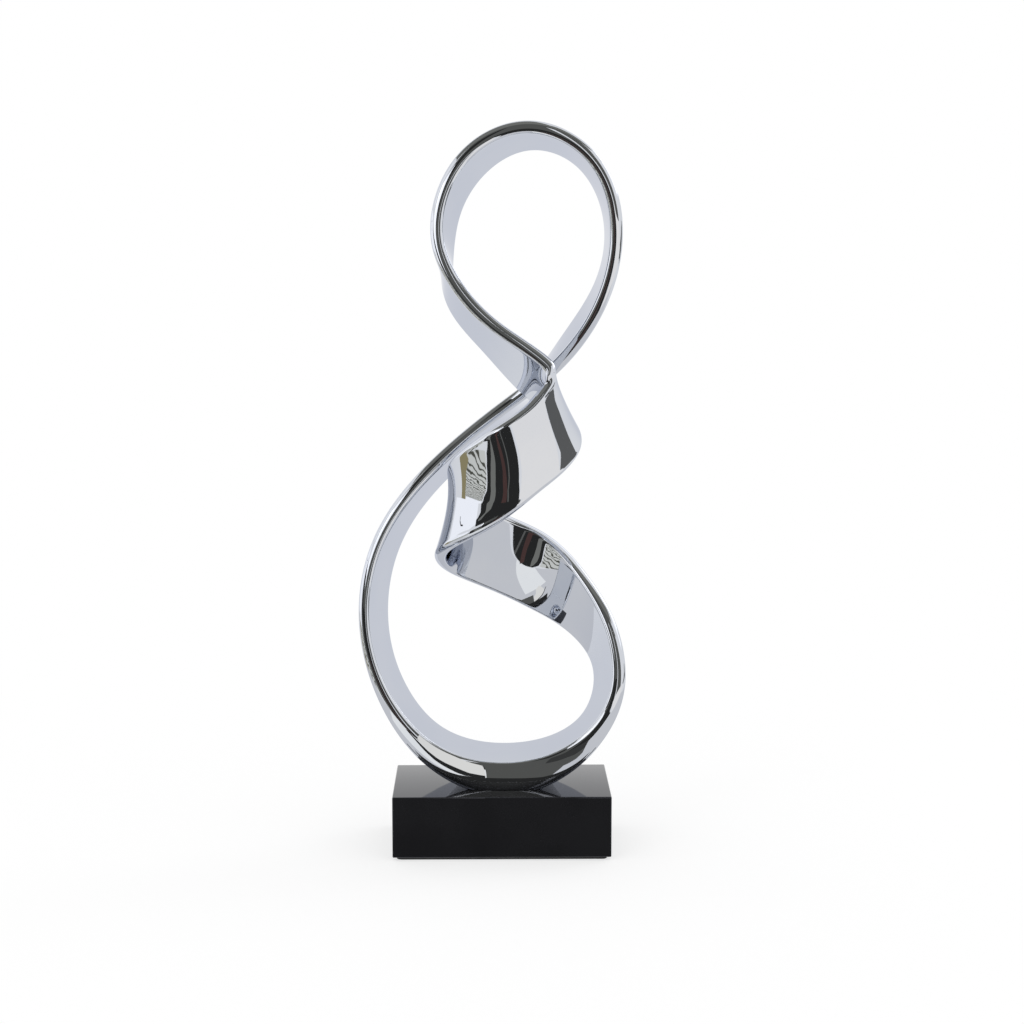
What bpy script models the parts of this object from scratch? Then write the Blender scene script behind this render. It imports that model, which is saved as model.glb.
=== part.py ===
"""A closed twisted ribbon on a rectangular base, as a table ornament.

Metres, +Z up, +Y away from the viewer. The origin is the centre of the pad's
underside, where the ornament stands. The ribbon is held on the base by two
screws that come up from below into threaded inserts in its thick foot.
"""

import math

import bmesh
import bpy
import numpy as np

MM = 0.001

# Base
BASE_WIDTH = 135.0 * MM
BASE_DEPTH = 80.0 * MM
BASE_HEIGHT = 38.2 * MM
BASE_EDGE = 0.8 * MM
BASE_EDGE_STEPS = 3

# Pad under the base
PAD_THICKNESS = 1.5 * MM
PAD_INSET = 2.5 * MM
PAD_CORNER = 3.0 * MM
PAD_CORNER_STEPS = 4

# Ribbon
RIBBON_WIDTH = 49.0 * MM
RIBBON_THICKNESS = 8.0 * MM
PATH_SPAN = 149.0 * MM
PATH_RISE = 402.0 * MM
RIM_CORNER = 2.7 * MM
FOOT_SWELL = 13.4 * MM
RIBBON_SECTIONS = 168
RIM_CORNER_STEPS = 3
WALL_STEPS = 3

# Fixings
SCREW_DIAMETER = 6.0 * MM
SCREW_LENGTH = 35.0 * MM
SCREW_SPACING = 26.0 * MM
HEAD_DIAMETER = 10.0 * MM
HEAD_HEIGHT = 6.0 * MM
HEAD_EDGE = 0.6 * MM
HEX_SOCKET = 5.0 * MM
HEX_DEPTH = 3.0 * MM
HEX_SIDES = 6
TIP_CHAMFER = 0.8 * MM
WASHER_DIAMETER = 12.0 * MM
WASHER_THICKNESS = 1.6 * MM
COUNTERBORE_DEPTH = 14.0 * MM
INSERT_DIAMETER = 8.6 * MM
INSERT_LENGTH = 10.0 * MM
INSERT_COLLAR = 1.0 * MM
INSERT_COLLAR_HEIGHT = 1.2 * MM
ROUND_SIDES = 32
SHARP_ANGLE = math.radians(35.0)

# Clearances
SEAT_GAP = 0.3 * MM
SCREW_CLEARANCE = 0.3 * MM
COUNTERBORE_CLEARANCE = 0.5 * MM
POCKET_CLEARANCE = 0.3 * MM
POCKET_END_ROOM = 1.0 * MM

# Levels, from the table up
BASE_BOTTOM = PAD_THICKNESS + SEAT_GAP
BASE_TOP = BASE_BOTTOM + BASE_HEIGHT
FOOT_LEVEL = BASE_TOP + SEAT_GAP

# Stations of the ribbon, in order along it. Each has its centre in mm (x, y,
# and z above the base's top face), the direction from the front rim to the
# back rim, and how much thicker than RIBBON_THICKNESS it is, in metres. The
# centres are then stretched to PATH_SPAN from left to right and to PATH_RISE
# above the base.
STATIONS = {
    "top": ((18.0, 0.0, 402.0), (0.01, 0.98, -0.18), 0.0),
    "top_left": ((-13.5, 0.0, 389.0), (0.16, 0.97, -0.20), 0.0),
    "upper_left": ((-32.0, -2.0, 361.0), (0.18, 0.97, -0.14), 0.0),
    "left": ((-35.5, -5.0, 334.0), (0.11, 0.98, -0.13), 0.0),
    "lower_left": ((-29.0, -9.0, 308.0), (-0.09, 0.98, -0.20), 0.0),
    "branch": ((-6.0, -14.2, 280.5), (-0.14, 0.94, -0.30), 0.0),
    "crossing": ((14.0, -18.4, 263.0), (-0.22, 0.88, -0.42), 0.0),
    "turn_in": ((24.0, -20.2, 254.0), (-0.19, 0.87, -0.46), 0.0),
    "turn": ((30.5, -22.0, 247.0), (0.05, 0.84, -0.54), 0.0),
    "turn_out": ((35.0, -24.5, 240.5), (0.29, 0.74, -0.61), 0.0),
    "helix_right": ((35.0, -31.0, 233.0), (0.47, 0.51, -0.71), 0.0),
    "leaf_right": ((27.0, -37.5, 222.0), (0.53, 0.35, -0.77), 0.0),
    "leaf": ((9.0, -42.0, 208.5), (0.59, 0.20, -0.78), 0.0),
    "leaf_left": ((-13.5, -34.0, 190.5), (0.54, -0.26, -0.80), 0.0),
    "helix_left": ((-31.0, -8.0, 169.0), (-0.20, -0.55, -0.81), 0.0),
    "band_left": ((-18.5, 17.0, 151.0), (-0.52, -0.08, -0.85), 0.0),
    "band": ((14.5, 26.0, 134.5), (-0.47, 0.16, -0.87), 0.0),
    "band_right": ((43.5, 19.0, 114.0), (-0.35, 0.63, -0.70), 0.0),
    "lower_right": ((63.5, 7.0, 88.0), (-0.25, 0.88, -0.40), 0.5 * MM),
    "right": ((68.0, 2.0, 65.0), (-0.20, 0.97, -0.12), 1.0 * MM),
    "foot_right": ((57.0, 0.0, 34.0), (-0.03, 1.00, 0.00), 4.0 * MM),
    "foot": ((2.0, 0.0, 7.6), (0.01, 1.00, 0.03), FOOT_SWELL),
    "foot_left": ((-42.0, 0.0, 22.3), (0.02, 1.00, 0.04), 7.0 * MM),
    "rising_left": ((-66.0, 0.0, 52.0), (0.11, 0.99, 0.03), 1.5 * MM),
    "far_left": ((-80.0, 4.0, 101.0), (0.21, 0.97, -0.10), -1.0 * MM),
    "rising_back": ((-72.0, 11.0, 150.0), (0.17, 0.96, -0.22), -0.5 * MM),
    "back": ((-31.0, 21.0, 203.0), (0.04, 0.96, -0.29), 0.0),
    "back_crossing": ((10.0, 29.0, 237.9), (0.10, 0.99, -0.12), 0.0),
    "back_right": ((41.0, 22.0, 272.5), (0.07, 0.97, 0.21), 0.0),
    "upper_right": ((62.0, 12.0, 307.0), (0.03, 0.98, 0.19), 0.0),
    "far_right": ((69.0, 6.0, 343.0), (-0.02, 0.99, 0.12), 0.0),
    "top_right": ((52.0, 1.0, 387.5), (-0.10, 0.99, -0.02), 0.0),
}

SIDES = {"left": -1.0, "right": 1.0}


def clear_scene():
    for obj in list(bpy.data.objects):
        bpy.data.objects.remove(obj, do_unlink=True)


def new_collection(name):
    collection = bpy.data.collections.new(name)
    bpy.context.scene.collection.children.link(collection)
    return collection


def new_material(name, colour, roughness, metallic):
    material = bpy.data.materials.new(name)
    material.use_nodes = True
    shader = material.node_tree.nodes["Principled BSDF"]
    shader.inputs["Base Color"].default_value = (*colour, 1.0)
    shader.inputs["Roughness"].default_value = roughness
    shader.inputs["Metallic"].default_value = metallic
    return material


def add_object(name, mesh, collection, material=None):
    obj = bpy.data.objects.new(name, mesh)
    collection.objects.link(obj)
    if material is not None:
        mesh.materials.append(material)
    return obj


def mesh_from(name, bm):
    mesh = bpy.data.meshes.new(name)
    bm.to_mesh(mesh)
    bm.free()
    return mesh


def block_mesh(name, width, depth, height):
    """A box with its underside centred on the origin."""
    bm = bmesh.new()
    bmesh.ops.create_cube(bm, size=1.0)
    bmesh.ops.scale(bm, vec=(width, depth, height), verts=bm.verts)
    bmesh.ops.translate(bm, vec=(0.0, 0.0, height / 2), verts=bm.verts)
    return mesh_from(name, bm)


def prism_mesh(name, radius, height, sides=ROUND_SIDES):
    """An upright cylinder or prism with its underside centred on the origin."""
    bm = bmesh.new()
    bmesh.ops.create_cone(bm, cap_ends=True, segments=sides, radius1=radius,
                          radius2=radius, depth=height)
    bmesh.ops.translate(bm, vec=(0.0, 0.0, height / 2), verts=bm.verts)
    return mesh_from(name, bm)


def turned_mesh(name, profile, closed, material):
    """A solid turned about the Z axis from an outline of (radius, height) points."""
    edges = [(i, i + 1) for i in range(len(profile) - 1)]
    if closed:
        edges.append((len(profile) - 1, 0))
    outline = bpy.data.meshes.new(name + "_outline")
    outline.from_pydata([(radius, 0.0, height) for radius, height in profile], edges, [])
    blank = add_object(name + "_outline", outline, bpy.context.scene.collection)
    modifier = blank.modifiers.new("turn", "SCREW")
    modifier.axis = "Z"
    modifier.angle = math.tau
    modifier.steps = ROUND_SIDES
    modifier.render_steps = ROUND_SIDES
    modifier.use_merge_vertices = True
    modifier.merge_threshold = 0.001 * MM
    turned = blank.evaluated_get(bpy.context.evaluated_depsgraph_get())
    mesh = bpy.data.meshes.new_from_object(turned)
    mesh.name = name
    mesh.materials.append(material)
    bpy.data.objects.remove(blank)
    bpy.data.meshes.remove(outline)
    shade_round(mesh)
    return mesh


def shade_round(mesh):
    mesh.shade_smooth()
    mesh.set_sharp_from_angle(angle=SHARP_ANGLE)


def bevel(obj, width, steps):
    modifier = obj.modifiers.new("edge", "BEVEL")
    modifier.width = width
    modifier.segments = steps
    modifier.limit_method = "ANGLE"


def cut(obj, cutter):
    modifier = obj.modifiers.new("cut " + cutter.name, "BOOLEAN")
    modifier.operation = "DIFFERENCE"
    modifier.solver = "EXACT"
    modifier.object = cutter
    cutter.hide_render = True
    cutter.display_type = "WIRE"


def closed_spline(knots, values, where):
    """A smooth closed curve through values at knots, read at the places in where.

    The last knot is the length of the whole loop, where the first value comes
    round again. Slope and bending run on smoothly through every station.
    """
    steps = np.diff(knots)
    count = len(steps)
    slopes = (np.roll(values, -1, axis=0) - values) / steps[:, None]
    system = np.zeros((count, count))
    right = np.zeros_like(values)
    for i in range(count):
        before = steps[i - 1]
        after = steps[i]
        system[i, (i - 1) % count] = before / 6
        system[i, i] = (before + after) / 3
        system[i, (i + 1) % count] = after / 6
        right[i] = slopes[i] - slopes[i - 1]
    bending = np.linalg.solve(system, right)
    found = np.searchsorted(knots, where, side="right") - 1
    found = np.clip(found, 0, count - 1)
    following = (found + 1) % count
    step = steps[found][:, None]
    share = ((where - knots[found]) / steps[found])[:, None]
    rest = 1.0 - share
    curve = (rest**3 - rest) * bending[found] + (share**3 - share) * bending[following]
    return rest * values[found] + share * values[following] + curve * step**2 / 6


def ribbon_frames():
    """Centre, direction across, direction through the wall, and thickness at each section."""
    centres = np.array([place for place, across, swell in STATIONS.values()])
    centres *= (PATH_SPAN / np.ptp(centres[:, 0]), MM, PATH_RISE / centres[:, 2].max())
    across = np.array([across for place, across, swell in STATIONS.values()])
    across /= np.linalg.norm(across, axis=1)[:, None]
    swell = np.array([[swell] for place, across, swell in STATIONS.values()])
    chords = np.linalg.norm(np.roll(centres, -1, axis=0) - centres, axis=1)
    knots = np.concatenate(([0.0], np.cumsum(chords)))
    where = np.linspace(0.0, knots[-1], RIBBON_SECTIONS, endpoint=False)
    centre = closed_spline(knots, centres, where)
    ahead = np.roll(centre, -1, axis=0) - np.roll(centre, 1, axis=0)
    wide = closed_spline(knots, across, where)
    wide /= np.linalg.norm(wide, axis=1)[:, None]
    through = np.cross(ahead, wide)
    through /= np.linalg.norm(through, axis=1)[:, None]
    thickness = RIBBON_THICKNESS + closed_spline(knots, swell, where)[:, 0]
    centre[:, 2] += BASE_TOP
    return centre, wide, through, thickness


def section_outline(thickness):
    """Two flat walls and two narrow flat rims with rounded corners, as (across, through) points."""
    flat = RIBBON_WIDTH / 2 - RIM_CORNER
    rise = thickness / 2 - RIM_CORNER
    points = []
    for side in (-1.0, 1.0):
        for face in (-1.0, 1.0):
            for step in range(RIM_CORNER_STEPS + 1):
                angle = math.pi / 2 * (step / RIM_CORNER_STEPS + (face - 1.0) / 2)
                out = flat + RIM_CORNER * math.cos(angle)
                points.append((side * out, side * (face * rise + RIM_CORNER * math.sin(angle))))
        for step in range(1, WALL_STEPS + 1):
            share = step / (WALL_STEPS + 1)
            points.append((side * flat * (1 - 2 * share), side * thickness / 2))
    return points


def ribbon_mesh(name):
    """The ribbon lofted round its closed path, before its foot is cut flat."""
    bm = bmesh.new()
    rings = []
    for centre, wide, through, thickness in zip(*ribbon_frames()):
        outline = section_outline(thickness)
        rings.append([bm.verts.new(centre + a * wide + t * through) for a, t in outline])
    for ring, following in zip(rings, rings[1:] + rings[:1]):
        for k in range(len(ring)):
            n = (k + 1) % len(ring)
            bm.faces.new((ring[k], ring[n], following[n], following[k]))
    bmesh.ops.recalc_face_normals(bm, faces=bm.faces)
    return mesh_from(name, bm)


def foot_centre():
    return STATIONS["foot"][0][0] * MM


def screw_x(side):
    return foot_centre() + SIDES[side] * SCREW_SPACING / 2


def washer_level():
    return BASE_BOTTOM + COUNTERBORE_DEPTH - SEAT_GAP - WASHER_THICKNESS


def head_level():
    """The top of the screw heads, just under the washers."""
    return washer_level() - SEAT_GAP


def screw_tip():
    return head_level() + SCREW_LENGTH


def insert_level():
    """The underside of the inserts, level with the ribbon's flat foot."""
    return FOOT_LEVEL


def make_base(parts, cutters):
    mesh = block_mesh("base_block", BASE_WIDTH, BASE_DEPTH, BASE_HEIGHT)
    gloss_black = new_material("gloss black", (0.010, 0.010, 0.011), 0.06, 0.0)
    base = add_object("base_block", mesh, parts, gloss_black)
    base.location.z = BASE_BOTTOM
    bevel(base, BASE_EDGE, BASE_EDGE_STEPS)
    counterbore = WASHER_DIAMETER / 2 + COUNTERBORE_CLEARANCE
    hole = SCREW_DIAMETER / 2 + SCREW_CLEARANCE
    for side in SIDES:
        for label, radius, depth in (("counterbore", counterbore, COUNTERBORE_DEPTH),
                                     ("screw_hole", hole, BASE_HEIGHT + SEAT_GAP)):
            cutter_mesh = prism_mesh(f"{label}_{side}", radius, depth + SEAT_GAP)
            cutter = add_object(f"{label}_{side}", cutter_mesh, cutters)
            cutter.location = (screw_x(side), 0.0, BASE_BOTTOM - SEAT_GAP)
            cut(base, cutter)


def make_pad(parts):
    width = BASE_WIDTH - 2 * PAD_INSET
    depth = BASE_DEPTH - 2 * PAD_INSET
    bm = bmesh.new()
    bmesh.ops.create_cube(bm, size=1.0)
    bmesh.ops.scale(bm, vec=(width, depth, PAD_THICKNESS), verts=bm.verts)
    bmesh.ops.translate(bm, vec=(0.0, 0.0, PAD_THICKNESS / 2), verts=bm.verts)
    corners = [e for e in bm.edges if abs(e.verts[0].co.z - e.verts[1].co.z) > PAD_THICKNESS / 2]
    bmesh.ops.bevel(bm, geom=corners, offset=PAD_CORNER, segments=PAD_CORNER_STEPS,
                    profile=0.5, affect="EDGES")
    black_foam = new_material("black foam", (0.020, 0.020, 0.020), 0.9, 0.0)
    add_object("base_pad", mesh_from("base_pad", bm), parts, black_foam)


def make_ribbon(parts, cutters):
    chrome = new_material("chrome plating", (0.64, 0.66, 0.70), 0.03, 1.0)
    ribbon = add_object("ribbon", ribbon_mesh("ribbon"), parts, chrome)
    below = block_mesh("foot_cut", BASE_WIDTH, BASE_DEPTH, FOOT_LEVEL)
    cut(ribbon, add_object("foot_cut", below, cutters))
    for side in SIDES:
        for label, radius, depth in pocket_steps():
            cutter_mesh = prism_mesh(f"{label}_{side}", radius, depth + SEAT_GAP)
            cutter = add_object(f"{label}_{side}", cutter_mesh, cutters)
            cutter.location = (screw_x(side), 0.0, insert_level() - SEAT_GAP)
            cut(ribbon, cutter)
    shade_round(ribbon.data)


def pocket_steps():
    """The stepped pocket in the foot: wide for the insert's collar, then deep."""
    body = INSERT_DIAMETER / 2 + POCKET_CLEARANCE
    collar = body + INSERT_COLLAR
    reach = max(INSERT_LENGTH, screw_tip() - insert_level())
    return (("collar_pocket", collar, INSERT_COLLAR_HEIGHT + POCKET_CLEARANCE),
            ("insert_pocket", body, reach + POCKET_END_ROOM))


def make_inserts(parts):
    brass = new_material("brass", (0.78, 0.57, 0.26), 0.3, 1.0)
    bore = SCREW_DIAMETER / 2 + SCREW_CLEARANCE
    body = INSERT_DIAMETER / 2
    collar = body + INSERT_COLLAR
    profile = [(body, INSERT_LENGTH), (body, INSERT_COLLAR_HEIGHT),
               (collar, INSERT_COLLAR_HEIGHT), (collar, 0.0),
               (bore, 0.0), (bore, INSERT_LENGTH)]
    mesh = turned_mesh("threaded_insert", profile, True, brass)
    for side in SIDES:
        insert = add_object(f"threaded_insert_{side}", mesh, parts)
        insert.location = (screw_x(side), 0.0, insert_level())


def make_washers(parts):
    steel = new_material("zinc-plated washer", (0.60, 0.61, 0.63), 0.35, 1.0)
    bore = SCREW_DIAMETER / 2 + SCREW_CLEARANCE
    rim = WASHER_DIAMETER / 2
    profile = [(rim, WASHER_THICKNESS), (rim, 0.0), (bore, 0.0), (bore, WASHER_THICKNESS)]
    mesh = turned_mesh("washer", profile, True, steel)
    for side in SIDES:
        washer = add_object(f"washer_{side}", mesh, parts)
        washer.location = (screw_x(side), 0.0, washer_level())


def make_screws(parts, cutters):
    """Socket head screws: a turned head and shank, with a hexagon cut in the head."""
    dark_steel = new_material("dark steel screw", (0.16, 0.16, 0.17), 0.35, 1.0)
    shank = SCREW_DIAMETER / 2
    head = HEAD_DIAMETER / 2
    profile = [(0.0, SCREW_LENGTH), (shank - TIP_CHAMFER, SCREW_LENGTH),
               (shank, SCREW_LENGTH - TIP_CHAMFER), (shank, 0.0), (head, 0.0),
               (head, HEAD_EDGE - HEAD_HEIGHT), (head - HEAD_EDGE, -HEAD_HEIGHT),
               (0.0, -HEAD_HEIGHT)]
    mesh = turned_mesh("machine_screw", profile, False, dark_steel)
    for side in SIDES:
        screw = add_object(f"machine_screw_{side}", mesh, parts)
        screw.location = (screw_x(side), 0.0, head_level())
        hexagon = prism_mesh(f"hex_socket_{side}", HEX_SOCKET / math.sqrt(3.0),
                             HEX_DEPTH + SEAT_GAP, sides=HEX_SIDES)
        cutter = add_object(f"hex_socket_{side}", hexagon, cutters)
        cutter.location = (screw_x(side), 0.0, head_level() - HEAD_HEIGHT - SEAT_GAP)
        cut(screw, cutter)


def main():
    clear_scene()
    parts = new_collection("twisted ribbon sculpture")
    cutters = new_collection("cutters")
    make_pad(parts)
    make_base(parts, cutters)
    make_ribbon(parts, cutters)
    make_inserts(parts)
    make_washers(parts)
    make_screws(parts, cutters)


main()
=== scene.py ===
"""A closed chrome ribbon on a gloss black block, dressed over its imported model.

Metres, +Z up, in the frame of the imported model. Every piece stands where its
node stands in the model and replaces it with a finer shape.
"""

import math

import bmesh
import bpy
import numpy as np
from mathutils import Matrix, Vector


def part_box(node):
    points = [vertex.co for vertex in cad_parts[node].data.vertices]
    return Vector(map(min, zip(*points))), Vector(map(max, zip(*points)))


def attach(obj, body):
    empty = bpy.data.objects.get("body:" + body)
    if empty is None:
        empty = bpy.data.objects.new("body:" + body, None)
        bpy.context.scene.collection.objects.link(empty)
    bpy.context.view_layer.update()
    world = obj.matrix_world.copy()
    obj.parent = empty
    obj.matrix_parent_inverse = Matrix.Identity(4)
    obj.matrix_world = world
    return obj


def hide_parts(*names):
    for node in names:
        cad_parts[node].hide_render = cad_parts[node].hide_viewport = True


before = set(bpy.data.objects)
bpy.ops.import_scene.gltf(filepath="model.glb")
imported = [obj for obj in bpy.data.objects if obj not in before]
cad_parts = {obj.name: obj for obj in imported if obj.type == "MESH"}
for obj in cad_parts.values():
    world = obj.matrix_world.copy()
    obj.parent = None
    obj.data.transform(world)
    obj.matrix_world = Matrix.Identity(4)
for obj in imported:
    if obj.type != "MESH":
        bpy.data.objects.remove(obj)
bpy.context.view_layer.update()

bl_info = {
    "name": "Twisted Ribbon Sculpture",
    "version": (1, 0, 0),
    "blender": (4, 5, 0),
    "location": "3D View > Sidebar > Sculpture",
    "description": "Builds a closed chrome ribbon on a gloss black block, and its studio",
    "category": "Add Mesh",
}

MM = 0.001
BODY = "root"
SIDES = ("left", "right")
SEAT = 0.3 * MM  # room between pieces that touch on the real object
SMOOTH_ANGLE = math.radians(35.0)  # an edge that bends by more is sharp

PAD_LOW, PAD_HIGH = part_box("base_pad")
BLOCK_LOW, BLOCK_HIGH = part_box("base_block")
RIBBON_LOW, RIBBON_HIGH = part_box("ribbon")
SCREW_LOW, SCREW_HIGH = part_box("machine_screw_left")
WASHER_LOW, WASHER_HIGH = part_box("washer_left")
INSERT_LOW, INSERT_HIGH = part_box("threaded_insert_left")

# Stations of the ribbon, in order along it: the centre in mm (x, y, and z above
# the block's top face), the direction from the front rim to the back rim, and
# how many mm thicker than the wall it is. The centres are then stretched to the
# path's span from left to right and to its rise above the block.
STATIONS = (
    ((18.0, 0.0, 402.0), (0.01, 0.98, -0.18), 0.0),
    ((-13.5, 0.0, 389.0), (0.16, 0.97, -0.20), 0.0),
    ((-32.0, -2.0, 361.0), (0.18, 0.97, -0.14), 0.0),
    ((-35.5, -5.0, 334.0), (0.11, 0.98, -0.13), 0.0),
    ((-29.0, -9.0, 308.0), (-0.09, 0.98, -0.20), 0.0),
    ((-6.0, -14.2, 280.5), (-0.14, 0.94, -0.30), 0.0),
    ((14.0, -18.4, 263.0), (-0.22, 0.88, -0.42), 0.0),
    ((24.0, -20.2, 254.0), (-0.19, 0.87, -0.46), 0.0),
    ((30.5, -22.0, 247.0), (0.05, 0.84, -0.54), 0.0),
    ((35.0, -24.5, 240.5), (0.29, 0.74, -0.61), 0.0),
    ((35.0, -31.0, 233.0), (0.47, 0.51, -0.71), 0.0),
    ((27.0, -37.5, 222.0), (0.53, 0.35, -0.77), 0.0),
    ((9.0, -42.0, 208.5), (0.59, 0.20, -0.78), 0.0),
    ((-13.5, -34.0, 190.5), (0.54, -0.26, -0.80), 0.0),
    ((-31.0, -8.0, 169.0), (-0.20, -0.55, -0.81), 0.0),
    ((-18.5, 17.0, 151.0), (-0.52, -0.08, -0.85), 0.0),
    ((14.5, 26.0, 134.5), (-0.47, 0.16, -0.87), 0.0),
    ((43.5, 19.0, 114.0), (-0.35, 0.63, -0.70), 0.0),
    ((63.5, 7.0, 88.0), (-0.25, 0.88, -0.40), 0.5),
    ((68.0, 2.0, 65.0), (-0.20, 0.97, -0.12), 1.0),
    ((57.0, 0.0, 34.0), (-0.03, 1.00, 0.00), 4.0),
    ((2.0, 0.0, 7.6), (0.01, 1.00, 0.03), 13.4),
    ((-42.0, 0.0, 22.3), (0.02, 1.00, 0.04), 7.0),
    ((-66.0, 0.0, 52.0), (0.11, 0.99, 0.03), 1.5),
    ((-80.0, 4.0, 101.0), (0.21, 0.97, -0.10), -1.0),
    ((-72.0, 11.0, 150.0), (0.17, 0.96, -0.22), -0.5),
    ((-31.0, 21.0, 203.0), (0.04, 0.96, -0.29), 0.0),
    ((10.0, 29.0, 237.9), (0.10, 0.99, -0.12), 0.0),
    ((41.0, 22.0, 272.5), (0.07, 0.97, 0.21), 0.0),
    ((62.0, 12.0, 307.0), (0.03, 0.98, 0.19), 0.0),
    ((69.0, 6.0, 343.0), (-0.02, 0.99, 0.12), 0.0),
    ((52.0, 1.0, 387.5), (-0.10, 0.99, -0.02), 0.0),
)


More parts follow.
